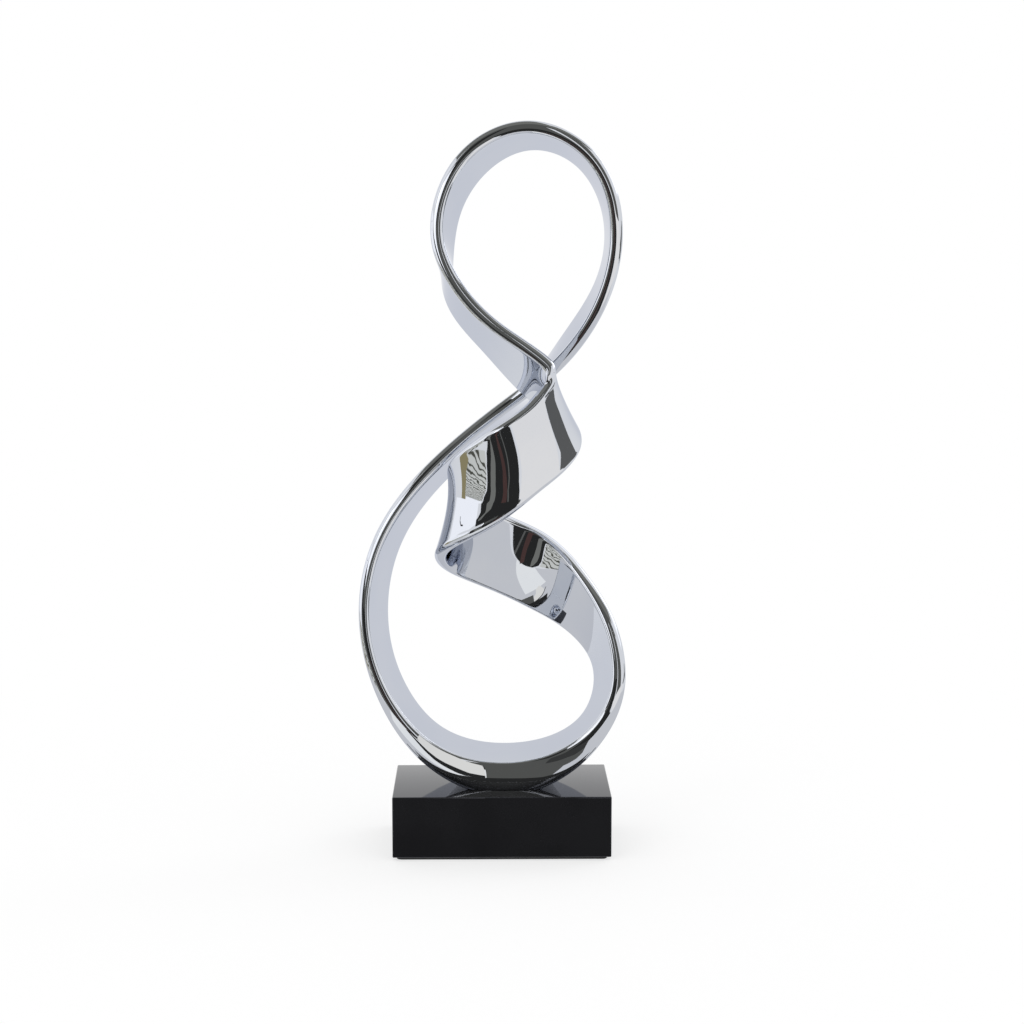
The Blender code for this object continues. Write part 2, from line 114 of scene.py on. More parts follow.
# The studio, as only polished surfaces see it. A card lies square to an axis at
# a place on it, and its corners are on the other two axes. Where cards of one
# plane overlap, the later one is in front. A card with no colour has clutter.
# A card that is seen once doesn't show in a reflection of a reflection.
CARD_STEP = 0.2 * MM
OLIVE = (0.120, 0.120, 0.110)
BLACK = (0.028, 0.028, 0.027)
GREY = (0.145, 0.145, 0.140)
STREAK = (0.22, 0.22, 0.20)
WHITE = (1.50, 1.50, 1.52)
SOFT_WHITE = (1.30, 1.30, 1.32)
SEEN_ONCE = ("floor_dark", "floor_streak", "floor_brown", "floor_pale", "floor_left", "ceiling",
             "ceiling_right", "camera_side_low", "camera_side_streak", "lip_black", "lip_olive",
             "lip_dark", "lip_white", "lip_line")
SECOND_BOUNCE = 1.5  # Glossy Depth between the first reflection and the second
CARDS = (
    ("floor_near", "z", 0.0, ((-0.45, -0.05), (-0.28, -0.22), (-0.05, -0.40), (0.20, -0.44),
                              (0.55, -0.44), (0.55, 0.20), (-0.45, 0.20)), (0.80, 0.80, 0.81)),
    ("floor_middle", "z", 0.0, ((0.22, -0.44), (1.03, -0.44), (1.30, -0.82), (1.30, -1.98),
                                (0.22, -1.98)), (1.09, 1.06, 1.02)),
    ("block_foreground", "z", 0.0, ((-0.12, -0.060), (0.12, -0.060), (0.12, -0.0405),
                                    (-0.12, -0.0405)), BLACK),
    ("floor_bright", "z", 0.0, ((-0.16, -0.31), (-0.08, -0.36), (-0.02, -0.405),
                                (-0.005, -0.41), (-0.005, -0.14), (-0.16, -0.14)),
     (1.12, 1.12, 1.09)),
    ("floor_dark", "z", 0.0, ((-0.135, -0.325), (-0.08, -0.36), (-0.02, -0.405),
                              (0.09, -0.45), (0.19, -0.49), (0.17, -0.60),
                              (0.16, -0.80), (0.19, -1.15), (0.22, -2.0), (-2.62, -2.0),
                              (-1.50, -1.24), (-0.95, -0.83), (-0.60, -0.62), (-0.455, -0.495),
                              (-0.37, -0.42), (-0.28, -0.345), (-0.21, -0.315)), BLACK),
    ("floor_streak", "z", 0.0, ((-0.115, -0.340), (-0.155, -0.345), (-0.225, -0.375),
                                (-0.290, -0.425), (-0.41, -0.55), (-0.53, -0.70),
                                (-0.78, -0.97), (-1.10, -1.31), (-1.95, -1.98),
                                (-1.38, -1.98), (-0.83, -1.33), (-0.60, -1.02),
                                (-0.41, -0.75), (-0.32, -0.60), (-0.22, -0.47),
                                (-0.155, -0.40)), STREAK),
    ("floor_brown", "z", 0.0, ((-0.03, -0.38), (-0.07, -0.40), (-0.11, -0.52), (-0.17, -0.64),
                               (-0.27, -0.90), (-0.44, -1.27), (-0.80, -1.98), (-0.50, -1.98),
                               (-0.27, -1.28), (-0.16, -0.92), (-0.08, -0.63),
                               (-0.05, -0.50)), (0.090, 0.050, 0.045)),
    ("floor_pale", "z", 0.0, ((0.030, -0.420), (0.015, -0.425), (-0.05, -0.66), (-0.15, -0.92),
                              (-0.25, -1.30), (-0.42, -1.98), (-0.36, -1.98), (-0.20, -1.30),
                              (-0.12, -0.92), (-0.025, -0.66)), (0.14, 0.14, 0.13)),
    ("floor_left", "z", 0.0, ((-0.215, -0.300), (-0.33, -0.17), (-0.42, -0.03), (-1.90, -0.10),
                              (-1.95, -1.20), (-1.55, -1.22), (-0.97, -0.81), (-0.62, -0.60),
                              (-0.47, -0.48), (-0.385, -0.41), (-0.29, -0.335)), None),
    ("floor_edge", "z", 0.0, ((-0.36, -0.07), (-0.40, -0.12), (-0.55, -0.06), (-1.20, -0.07),
                              (-2.10, -0.16), (-3.20, -0.25), (-3.20, 0.30), (-1.20, 0.12),
                              (-0.55, 0.06), (-0.42, 0.02)), (0.36, 0.31, 0.17)),
    ("floor_white", "z", 0.0, ((-1.95, -0.25), (-3.19, -0.25), (-3.19, -1.98), (-2.75, -1.98),
                               (-1.95, -1.45)), SOFT_WHITE),
    ("floor_right", "z", 0.0, ((1.20, 0.20), (1.20, -0.24), (1.03, -0.44), (1.12, -0.50),
                               (1.18, -0.57), (1.22, -0.62), (1.33, -0.67), (1.32, -0.72),
                               (1.30, -0.82), (2.60, -0.88), (3.20, -0.92), (3.20, 0.40),
                               (1.50, 0.30)), GREY),
    ("ceiling", "z", 2.75, ((-2.40, -2.0), (0.60, -2.0), (0.70, -0.60), (0.20, 0.60),
                            (-1.20, 1.50), (-2.60, 1.60)), STREAK),
    ("ceiling_right", "z", 2.75, ((0.60, -2.0), (2.50, -2.0), (2.70, -0.35), (0.90, -0.25),
                                  (0.70, -0.60)), STREAK),
    ("camera_side", "y", -2.0, ((-2.10, 0.0), (0.30, 0.0), (0.34, 1.66), (0.30, 2.75),
                                (-1.75, 2.75), (-1.75, 1.75), (-2.10, 0.45)), OLIVE),
    ("right_high", "y", -2.0, ((0.30, 1.66), (1.95, 1.68), (1.95, 3.20), (0.30, 3.20)), OLIVE),
    ("camera_side_black", "y", -2.0, ((-1.02, 0.95), (-0.40, 0.92), (-0.42, 1.95),
                                      (-1.10, 1.95)), BLACK),
    ("softbox_front", "y", -2.0, ((-2.25, 1.00), (-1.60, 0.72), (-0.93, 0.46), (-0.80, 1.12),
                                  (-1.25, 1.72), (-2.25, 1.90)), WHITE),
    ("camera_side_low", "y", -2.0, ((-2.70, 0.0), (0.20, 0.0), (0.20, 0.30), (-1.00, 0.36),
                                    (-1.50, 0.58), (-2.10, 0.86), (-2.95, 1.22), (-3.20, 1.30),
                                    (-3.20, 0.95), (-2.95, 0.80), (-2.62, 0.45)), BLACK),
    ("camera_side_streak", "y", -2.0, ((-1.95, 0.0), (-1.38, 0.0), (-1.55, 0.20), (-1.90, 0.40),
                                       (-2.28, 0.60), (-2.80, 0.86), (-2.82, 0.94),
                                       (-2.42, 0.78), (-2.15, 0.56), (-1.98, 0.30)), STREAK),
    ("right_post", "y", -2.0, ((0.50, 0.0), (1.60, 0.0), (1.60, 1.66), (0.50, 1.66)), OLIVE),
    ("left_white", "x", -3.2, ((1.20, 0.0), (1.20, 1.25), (-1.30, 1.35), (-2.0, 1.20),
                               (-2.0, 0.0)), SOFT_WHITE),
    ("left_mark", "x", -3.2, ((-0.45, 1.12), (-0.15, 1.08), (0.05, 0.92), (0.12, 0.72),
                              (0.06, 0.72), (0.0, 0.88), (-0.17, 1.02), (-0.45, 1.07)), BLACK),
    ("left_high", "x", -3.2, ((-1.20, 1.60), (-0.40, 1.60), (-0.40, 3.20), (-1.20, 3.20)),
     SOFT_WHITE),
    ("right_low", "x", 3.2, ((-0.92, 0.0), (0.40, 0.0), (0.45, 0.25), (0.30, 0.33),
                             (-0.10, 0.34), (-0.30, 0.26), (-0.60, 0.12), (-0.92, 0.04)), GREY),
    ("right_bright", "x", 3.2, ((-0.60, 1.00), (0.80, 1.00), (0.80, 2.40), (-0.60, 2.40)), WHITE),
    ("back_right", "y", 2.0, ((0.80, 0.80), (2.60, 0.80), (2.60, 2.50), (0.80, 2.50)), WHITE),
    ("back_left", "y", 2.0, ((-3.20, 0.30), (-1.90, 0.30), (-1.90, 2.40), (-3.20, 2.40)),
     SOFT_WHITE),
    ("lip_black", "y", -0.060, ((-0.075, 0.0), (0.075, 0.0), (0.075, 0.0385), (-0.075, 0.0385)),
     BLACK),
    ("lip_olive", "y", -0.060, ((-0.010, 0.0385), (0.034, 0.0385), (0.040, 0.0470),
                                (0.050, 0.0500), (0.0535, 0.0545), (0.0545, 0.068),
                                (-0.010, 0.068)), OLIVE),
    ("lip_dark", "y", -0.060, ((0.026, 0.0555), (0.034, 0.0545), (0.046, 0.0560),
                               (0.0535, 0.0600), (0.0545, 0.068), (0.026, 0.068)),
     (0.055, 0.055, 0.052)),
    ("lip_white", "y", -0.060, ((-0.0107, 0.0400), (-0.0107, 0.0605), (-0.0150, 0.0650),
                                (-0.0180, 0.0700), (-0.0185, 0.0835), (-0.0290, 0.0900),
                                (-0.0400, 0.0800), (-0.0500, 0.0690), (-0.0505, 0.0630),
                                (-0.0460, 0.0560), (-0.0410, 0.0510), (-0.0350, 0.0480),
                                (-0.0300, 0.0460), (-0.0250, 0.0435), (-0.0200, 0.0415)),
     (1.04, 1.01, 0.94)),
    ("lip_line", "y", -0.060, ((-0.0580, 0.0720), (-0.0515, 0.0640), (-0.0470, 0.0570),
                               (-0.0415, 0.0520), (-0.0360, 0.0490), (-0.0310, 0.0468),
                               (-0.0260, 0.0445), (-0.0210, 0.0422), (-0.0107, 0.0405),
                               (-0.0107, 0.0384), (-0.0240, 0.0390), (-0.0290, 0.0405),
                               (-0.0340, 0.0430), (-0.0390, 0.0455), (-0.0445, 0.0490),
                               (-0.0505, 0.0555), (-0.0560, 0.0640), (-0.0620, 0.0720)), BLACK),
)


def length(name, description, default):
    return bpy.props.FloatProperty(name=name, description=description, default=default,
                                   unit="LENGTH", precision=5)


def colour(name, description, default):
    return bpy.props.FloatVectorProperty(name=name, description=description, default=default,
                                         subtype="COLOR", size=3, min=0.0, max=1.0)


class RibbonSettings(bpy.types.PropertyGroup):
    width: length("Width", "Width of the ribbon from rim to rim", 49.0 * MM)
    wall: length("Wall", "Thickness of the ribbon away from its foot", 8.0 * MM)
    rim_depth: length("Rim depth", "How far the crowned rims reach beyond the flat walls",
                      3.0 * MM)
    span: length("Span", "Width of the path's centre line from left to right", 149.0 * MM)
    rise: length("Rise", "Height of the path's centre line above the block", 402.0 * MM)
    sections: bpy.props.IntProperty(name="Sections", description="Sections along the path",
                                    default=960, min=96)
    chrome: colour("Chrome", "Colour of the chrome plating", (0.64, 0.66, 0.70))


class BlockSettings(bpy.types.PropertyGroup):
    edge: length("Edge", "Radius of the block's edges", 0.8 * MM)
    counterbore: length("Counterbore", "Radius of the recesses for the screw heads", 6.5 * MM)
    recess: length("Recess", "Depth of the recesses for the screw heads", 14.0 * MM)
    black: colour("Black", "Colour of the gloss black lacquer", (0.010, 0.010, 0.011))


class PadSettings(bpy.types.PropertyGroup):
    corner: length("Corner", "Radius of the pad's corners seen from below", 3.0 * MM)
    edge: length("Edge", "Radius of the pad's upper and lower edges", 0.25 * MM)
    foam: colour("Foam", "Colour of the foam sheet", (0.020, 0.020, 0.020))


class FixingSettings(bpy.types.PropertyGroup):
    shank: length("Shank", "Outside radius of the screw's thread", 3.0 * MM)
    root: length("Thread root", "Radius at the bottom of the screw's thread", 2.45 * MM)
    pitch: length("Pitch", "Distance from one turn of the thread to the next", 1.0 * MM)
    thread: length("Threaded length", "Length of the thread, from the screw's tip", 24.0 * MM)
    head_height: length("Head height", "Height of the screw's head", 6.0 * MM)
    hexagon: length("Hexagon", "Distance across the flats of the socket", 5.0 * MM)
    hexagon_depth: length("Hexagon depth", "Depth of the socket", 3.0 * MM)
    bore: length("Bore", "Radius of the holes that the screws pass through", 3.3 * MM)
    insert_body: length("Insert body", "Outside radius of the insert's knurled bands", 4.3 * MM)
    collar_height: length("Collar height", "Height of the insert's collar", 1.2 * MM)
    brass: colour("Brass", "Colour of the inserts", (0.78, 0.57, 0.26))
    zinc: colour("Zinc", "Colour of the plated washers", (0.60, 0.61, 0.63))
    oxide: colour("Black oxide", "Colour of the screws", (0.16, 0.16, 0.17))


class StudioSettings(bpy.types.PropertyGroup):
    camera_place: bpy.props.FloatVectorProperty(
        name="Camera place", description="Where the camera stands", subtype="TRANSLATION",
        default=(-0.0098, -1.270, 0.3786))
    camera_turn: bpy.props.FloatVectorProperty(
        name="Camera turn", description="How the camera is turned", subtype="EULER",
        default=(math.radians(82.5), 0.0, math.radians(-0.742)))
    lens: bpy.props.FloatProperty(name="Lens", description="Focal length of the camera",
                                  default=72.38, unit="CAMERA")
    floor_radius: length("Floor radius", "Radius of the white floor", 4.0)
    room_light: bpy.props.FloatProperty(name="Room light", description="Soft light all round",
                                        default=0.80, min=0.0)


def add_mesh(name, bm, material, smooth_angle=SMOOTH_ANGLE):
    """A finished mesh, with its faces turned outward and its sharper edges kept sharp."""
    bmesh.ops.recalc_face_normals(bm, faces=bm.faces)
    mesh = bpy.data.meshes.new(name)
    bm.to_mesh(mesh)
    bm.free()
    mesh.materials.append(material)
    mesh.shade_smooth()
    mesh.set_sharp_from_angle(angle=smooth_angle)
    return mesh


def add_object(name, data, place=(0.0, 0.0, 0.0)):
    obj = bpy.data.objects.new(name, data)
    obj.location = place
    bpy.context.scene.collection.objects.link(obj)
    return obj


def add_piece(name, mesh, node, place=(0.0, 0.0, 0.0)):
    piece = add_object(name, mesh, place)
    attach(piece, BODY)
    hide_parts(node)


def node_centre(side, node):
    low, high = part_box(f"{node}_{side}")
    return (low[0] + high[0]) / 2, (low[1] + high[1]) / 2


def ring(bm, radius, height, steps, centre=(0.0, 0.0)):
    """A level ring of vertices; radius is a number or one number for each vertex."""
    radii = np.broadcast_to(radius, steps)
    angles = np.arange(steps) * math.tau / steps
    return [bm.verts.new((centre[0] + r * math.cos(a), centre[1] + r * math.sin(a), height))
            for r, a in zip(radii, angles)]


def bridge(bm, rings, closed=False):
    """Bands of faces from each ring to the next, and from the last to the first if closed."""
    following = rings[1:] + rings[:1] if closed else rings[1:]
    for first, second in zip(rings, following):
        for k in range(len(first)):
            n = (k + 1) % len(first)
            bm.faces.new((first[k], first[n], second[n], second[k]))


def ring_edges(bm, verts):
    edges = []
    for k in range(len(verts)):
        pair = (verts[k], verts[(k + 1) % len(verts)])
        edges.append(bm.edges.get(pair) or bm.edges.new(pair))
    return edges


def fill_between(bm, *loops):
    """Flat faces between an outer loop and the loops inside it."""
    edges = [edge for loop in loops for edge in ring_edges(bm, loop)]
    bmesh.ops.triangle_fill(bm, use_beauty=True, use_dissolve=False, edges=edges)


# Shader parts

def node(tree, kind, **settings):
    made = tree.nodes.new(kind)
    for name, value in settings.items():
        setattr(made, name, value)
    return made


def object_place(tree):
    return node(tree, "ShaderNodeTexCoord").outputs["Object"]


def math_node(tree, operation, first, second, third=0.0):
    made = node(tree, "ShaderNodeMath", operation=operation)
    for socket, value in zip(made.inputs, (first, second, third)):
        if isinstance(value, (int, float)):
            socket.default_value = value
        else:
            tree.links.new(value, socket)
    return made.outputs[0]


def ramp(tree, value, low, high):
    """Rises smoothly from 0 at low to 1 at high."""
    made = node(tree, "ShaderNodeMapRange", interpolation_type="SMOOTHSTEP")
    tree.links.new(value, made.inputs["Value"])
    made.inputs["From Min"].default_value = low
    made.inputs["From Max"].default_value = high
    return made.outputs["Result"]


def mix_colours(tree, share, first, second):
    made = node(tree, "ShaderNodeMix", data_type="RGBA")
    tree.links.new(share, made.inputs[0])
    for socket, value in ((made.inputs[6], first), (made.inputs[7], second)):
        if isinstance(value, tuple):
            socket.default_value = (*value, 1.0)
        else:
            tree.links.new(value, socket)
    return made.outputs[2]


def noise(tree, place, scale, detail, rough=0.5):
    made = node(tree, "ShaderNodeTexNoise")
    tree.links.new(place, made.inputs["Vector"])
    made.inputs["Scale"].default_value = scale
    made.inputs["Detail"].default_value = detail
    made.inputs["Roughness"].default_value = rough
    return made.outputs["Fac"]


def stretched(tree, place, scale, turn=(0.0, 0.0, 0.0)):
    made = node(tree, "ShaderNodeMapping")
    tree.links.new(place, made.inputs["Vector"])
    made.inputs["Scale"].default_value = scale
    made.inputs["Rotation"].default_value = turn
    return made.outputs["Vector"]


def new_group(name, inputs, outputs):
    """An empty group of numbers: inputs gives their names and defaults."""
    group = bpy.data.node_groups.new(name, "ShaderNodeTree")
    kind = "NodeSocketFloat"
    for label, default in inputs.items():
        socket = group.interface.new_socket(name=label, in_out="INPUT", socket_type=kind)
        socket.default_value = default
    for label in outputs:
        group.interface.new_socket(name=label, in_out="OUTPUT", socket_type=kind)
    return group, group.nodes.new("NodeGroupInput"), group.nodes.new("NodeGroupOutput")


def scaled_place(group, source):
    """The object's own coordinates times the group's Scale."""
    sized = node(group, "ShaderNodeVectorMath", operation="SCALE")
    group.links.new(object_place(group), sized.inputs[0])
    group.links.new(source.outputs["Scale"], sized.inputs["Scale"])
    return sized.outputs[0]


def hairline_group(name):
    """Fine handling scratches in two directions: a mask and a height."""
    group, source, sink = new_group(name, {"Scale": 60.0, "Amount": 0.5}, ("Mask", "Height"))
    place = scaled_place(group, source)
    lines = []
    for turn in ((0.3, 0.2, 0.9), (1.1, -0.4, 2.2)):
        long = stretched(group, place, (0.05, 1.0, 1.0), turn)
        lines.append(ramp(group, noise(group, long, scale=5.0, detail=2.0), 0.70, 0.76))
    both = math_node(group, "MAXIMUM", *lines)
    patches = ramp(group, noise(group, place, scale=0.35, detail=2.0), 0.45, 0.65)
    patchy = math_node(group, "MULTIPLY", both, patches)
    mask = math_node(group, "MULTIPLY", patchy, source.outputs["Amount"])
    group.links.new(mask, sink.inputs["Mask"])
    group.links.new(math_node(group, "MULTIPLY", mask, -1.0), sink.inputs["Height"])
    return group


def dust_group(name):
    """Fine dust that gathers on faces that look up: a mask."""
    group, source, sink = new_group(name, {"Scale": 900.0, "Amount": 0.5}, ("Mask",))
    place = scaled_place(group, source)
    specks = ramp(group, noise(group, place, scale=1.0, detail=2.0), 0.66, 0.74)
    film = noise(group, place, scale=0.03, detail=3.0)
    facing = node(group, "ShaderNodeSeparateXYZ")
    group.links.new(node(group, "ShaderNodeNewGeometry").outputs["Normal"], facing.inputs[0])
    upward = ramp(group, facing.outputs["Z"], 0.2, 0.95)
    both = math_node(group, "ADD", specks, math_node(group, "MULTIPLY", film, 0.3))
    settled = math_node(group, "MULTIPLY", both, upward)
    mask = math_node(group, "MULTIPLY", settled, source.outputs["Amount"])
    group.links.new(mask, sink.inputs["Mask"])
    return group


def swell_group(name):
    """The slow unevenness of a cast and polished surface: a height."""
    group, source, sink = new_group(name, {"Scale": 30.0, "Depth": 1.0}, ("Height",))
    slow = noise(group, scaled_place(group, source), scale=1.0, detail=1.0, rough=0.4)
    height = math_node(group, "MULTIPLY", slow, source.outputs["Depth"])
    group.links.new(height, sink.inputs["Height"])
    return group


GROUPS = {
    "hairline scratches": hairline_group,
    "settled dust": dust_group,
    "cast unevenness": swell_group,
}


def place_group(tree, name, **values):
    """Places a shared group with its own values. It is built the first time it is needed."""
    group = bpy.data.node_groups.get(name) or GROUPS[name](name)
    made = node(tree, "ShaderNodeGroup", node_tree=group)
    for label, value in values.items():
        made.inputs[label].default_value = value
    return made


def new_material(name):
    material = bpy.data.materials.new(name)
    material.use_nodes = True
    return material, material.node_tree, material.node_tree.nodes["Principled BSDF"]


def set_roughness(tree, shader, base, *shares):
    """A base roughness, and for each mask the amount that it adds."""
    level = base
    for mask, amount in shares:
        level = math_node(tree, "MULTIPLY_ADD", mask, amount, level)
    tree.links.new(level, shader.inputs["Roughness"])


def set_bump(tree, shader, height, distance):
    bump = node(tree, "ShaderNodeBump")
    bump.inputs["Strength"].default_value = 1.0
    bump.inputs["Distance"].default_value = distance
    tree.links.new(height, bump.inputs["Height"])
    tree.links.new(bump.outputs["Normal"], shader.inputs["Normal"])


def chrome_material(tint):
    """Mirror plating over a hand-polished casting, with a few hairlines and a little dust."""
    material, tree, shader = new_material("chrome plating")
    marks = place_group(tree, "hairline scratches", Scale=55.0, Amount=0.5)
    film = place_group(tree, "settled dust", Scale=1100.0, Amount=0.35)
    uneven = place_group(tree, "cast unevenness", Scale=26.0, Depth=1.0)
    cloud = ramp(tree, noise(tree, object_place(tree), scale=18.0, detail=4.0), 0.3, 0.7)
    cooler = tuple(c * s for c, s in zip(tint, (0.95, 0.96, 0.98)))
    plating = mix_colours(tree, cloud, tint, cooler)
    dusty = mix_colours(tree, film.outputs["Mask"], plating, (0.60, 0.59, 0.57))
    tree.links.new(dusty, shader.inputs["Base Color"])
    set_roughness(tree, shader, 0.018, (marks.outputs["Mask"], 0.10),
                  (film.outputs["Mask"], 0.20), (cloud, 0.012))
    shader.inputs["Metallic"].default_value = 1.0
    shader.inputs["Specular Tint"].default_value = (0.72, 0.74, 0.80, 1.0)
    set_bump(tree, shader, uneven.outputs["Height"], 0.10 * MM)
    return material


def lacquer_material(tint):
    """Deep gloss lacquer with faint orange peel, hairlines and dust on its top."""
    material, tree, shader = new_material("gloss black")
    place = object_place(tree)
    marks = place_group(tree, "hairline scratches", Scale=45.0, Amount=0.7)
    film = place_group(tree, "settled dust", Scale=1300.0, Amount=0.10)
    cloud = ramp(tree, noise(tree, place, scale=25.0, detail=4.0), 0.3, 0.7)
    deep = mix_colours(tree, cloud, tint, tuple(c * 1.25 for c in tint))
    dusty = mix_colours(tree, film.outputs["Mask"], deep, (0.30, 0.29, 0.28))
    tree.links.new(dusty, shader.inputs["Base Color"])
    set_roughness(tree, shader, 0.05, (marks.outputs["Mask"], 0.16), (cloud, 0.02))
    shader.inputs["Specular Tint"].default_value = (0.80, 0.84, 1.0, 1.0)
    set_bump(tree, shader, noise(tree, place, scale=420.0, detail=1.0), 0.006 * MM)
    return material


def foam_material(tint):
    """Closed-cell foam sheet, matt and pitted, with painted shade that darkens the pits."""
    material, tree, shader = new_material("black foam")
    place = object_place(tree)
    cells = node(tree, "ShaderNodeTexVoronoi", feature="F1")
    tree.links.new(place, cells.inputs["Vector"])
    cells.inputs["Scale"].default_value = 1800.0
    # The depth of each pit, which also places the painted shade in it.
    pit_depth_and_shade = ramp(tree, cells.outputs["Distance"], 0.1, 0.6)
    worn = ramp(tree, noise(tree, place, scale=60.0, detail=5.0), 0.35, 0.75)
    light = mix_colours(tree, worn, tint, tuple(c * 2.2 for c in tint))
    # Painted shade: the foam colour goes nearly black at the bottom of each pit.
    tree.links.new(mix_colours(tree, pit_depth_and_shade, (0.008, 0.008, 0.008), light),
                   shader.inputs["Base Color"])
    set_roughness(tree, shader, 0.82, (worn, 0.12))
    set_bump(tree, shader, pit_depth_and_shade, 0.10 * MM)
    return material


def turned_metal_material(name, tint, stain, rough, groove_scale):
    """Machined or plated metal with turning marks and stains."""
    material, tree, shader = new_material(name)
    place = object_place(tree)
    marks = place_group(tree, "hairline scratches", Scale=300.0, Amount=0.8)
    round_it = stretched(tree, place, (0.05, 0.05, 1.0))
    grooves = noise(tree, round_it, scale=groove_scale, detail=3.0)
    cloud = ramp(tree, noise(tree, place, scale=220.0, detail=5.0), 0.35, 0.75)
    tree.links.new(mix_colours(tree, cloud, tint, stain), shader.inputs["Base Color"])
    set_roughness(tree, shader, rough, (grooves, 0.18), (marks.outputs["Mask"], 0.15))
    shader.inputs["Metallic"].default_value = 1.0
    set_bump(tree, shader, grooves, 0.03 * MM)
    return material


# Ribbon

RIM_STEPS = 24
RIM_POWER = 2.15  # of the rim's superellipse where the ribbon is as thick as its wall
FOOT_POWER = 0.9  # how much more it is at the foot, where the ribbon is thickest
FOOT_SWELL = max(swell for place, across, swell in STATIONS) * MM
WALL_PLACES = (0.018, 0.10, 0.22, 0.36, 0.50, 0.64, 0.78, 0.90, 0.982)
POCKET_STEPS = 48
COLLAR_ROOM = 1.0 * MM  # how much wider an insert's pocket is at the collar
CROWN_ROOM = 1.0 * MM  # room above an insert


def closed_spline(knots, values, where):
    """A smooth closed curve through values at knots, read at the places in where."""
    steps = np.diff(knots)
    count = len(steps)
    slopes = (np.roll(values, -1, axis=0) - values) / steps[:, None]
    system = np.zeros((count, count))
    right = np.zeros_like(values)
    for i in range(count):
        before = steps[i - 1]
        after = steps[i]
        system[i, (i - 1) % count] = before / 6
        system[i, i] = (before + after) / 3
        system[i, (i + 1) % count] = after / 6
        right[i] = slopes[i] - slopes[i - 1]
    bending = np.linalg.solve(system, right)
    found = np.clip(np.searchsorted(knots, where, side="right") - 1, 0, count - 1)
    following = (found + 1) % count
    step = steps[found][:, None]
    share = ((where - knots[found]) / steps[found])[:, None]
    rest = 1.0 - share
    curve = (rest**3 - rest) * bending[found] + (share**3 - share) * bending[following]
    return rest * values[found] + share * values[following] + curve * step**2 / 6


def ribbon_frames(settings, block_top):
    """Centre, direction across, direction through the wall, and thickness at each section."""
    centres = np.array([place for place, across, swell in STATIONS])
    centres *= (settings.span / np.ptp(centres[:, 0]), MM, settings.rise / centres[:, 2].max())
    across = np.array([across for place, across, swell in STATIONS])
    across /= np.linalg.norm(across, axis=1)[:, None]
    swell = np.array([[swell * MM] for place, across, swell in STATIONS])
    chords = np.linalg.norm(np.roll(centres, -1, axis=0) - centres, axis=1)
    knots = np.concatenate(([0.0], np.cumsum(chords)))
    where = np.linspace(0.0, knots[-1], settings.sections, endpoint=False)
    centre = closed_spline(knots, centres, where)
    ahead = np.roll(centre, -1, axis=0) - np.roll(centre, 1, axis=0)
    wide = closed_spline(knots, across, where)
    wide /= np.linalg.norm(wide, axis=1)[:, None]
    through = np.cross(ahead, wide)
    through /= np.linalg.norm(through, axis=1)[:, None]
    thickness = settings.wall + closed_spline(knots, swell, where)[:, 0]
    centre[:, 2] += block_top
    return centre, wide, through, thickness


def section_outline(settings, thickness):
    """Two flat walls and two narrow crowned rims, as (across, through) points.

    A rim is a superellipse, fuller where the ribbon is thicker.
    """
    depth = settings.rim_depth
    flat = settings.width / 2 - depth
    power = 2.0 / (RIM_POWER + FOOT_POWER * (thickness - settings.wall) / FOOT_SWELL)
    points = []
    for side in (-1.0, 1.0):
        for step in range(RIM_STEPS + 1):
            angle = math.pi * (step / RIM_STEPS - 0.5)
            out = flat + depth * abs(math.cos(angle)) ** power
            over = math.copysign(abs(math.sin(angle)) ** power, angle) * thickness / 2
            points.append((side * out, side * over))
        for share in WALL_PLACES:
            points.append((side * flat * (1 - 2 * share), side * thickness / 2))
    return points


def ribbon_points(settings, block_top):
    """Every section's points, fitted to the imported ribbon's box.

    Before the fit, their own box differs from it by less than 0.1 mm on every
    side but the foot, which reaches below the block's top and is cut off later.
    """
    sections = []
    for centre, wide, through, thickness in zip(*ribbon_frames(settings, block_top)):
        outline = np.array(section_outline(settings, thickness))
        sections.append(centre + outline[:, :1] * wide + outline[:, 1:] * through)
    points = np.array(sections)
    low = points.min(axis=(0, 1))
    high = points.max(axis=(0, 1))
    room_low = np.array((RIBBON_LOW[0], RIBBON_LOW[1], low[2]))
    room_high = np.array(RIBBON_HIGH)
    return room_low + (points - low) * (room_high - room_low) / (high - low)


def make_ribbon_mesh(settings, fixings, material):
    """The closed ribbon, cut flat at its foot, with a stepped pocket for each insert."""
    foot_level = RIBBON_LOW[2]
    bm = bmesh.new()
    rings = [[bm.verts.new(point) for point in section]
             for section in ribbon_points(settings, BLOCK_HIGH[2])]
    bridge(bm, rings, closed=True)
    everything = bm.verts[:] + bm.edges[:] + bm.faces[:]
    bmesh.ops.bisect_plane(bm, geom=everything, plane_co=(0.0, 0.0, foot_level),
                           plane_no=(0.0, 0.0, 1.0), clear_inner=True)
    rim = [edge for edge in bm.edges if edge.is_boundary]
    body = fixings.insert_body + SEAT
    collar = body + COLLAR_ROOM
    ledge = foot_level + fixings.collar_height + SEAT
    crown = foot_level + (INSERT_HIGH[2] - INSERT_LOW[2]) + CROWN_ROOM
    loops = []
    for side in SIDES:
        centre = node_centre(side, "threaded_insert")
        steps = [ring(bm, radius, height, POCKET_STEPS, centre) for radius, height in
                 ((collar, foot_level), (collar, ledge), (body, ledge), (body, crown))]
        bridge(bm, steps)
        bm.faces.new(steps[-1])
        loops += ring_edges(bm, steps[0])
    bmesh.ops.triangle_fill(bm, use_beauty=True, use_dissolve=False, edges=rim + loops)
    return add_mesh("ribbon", bm, material)


# Block and pad

HOLE_STEPS = 64
EDGE_STEPS = 7
CORNER_STEPS = 10
LEVEL_TOLERANCE = 0.01 * MM


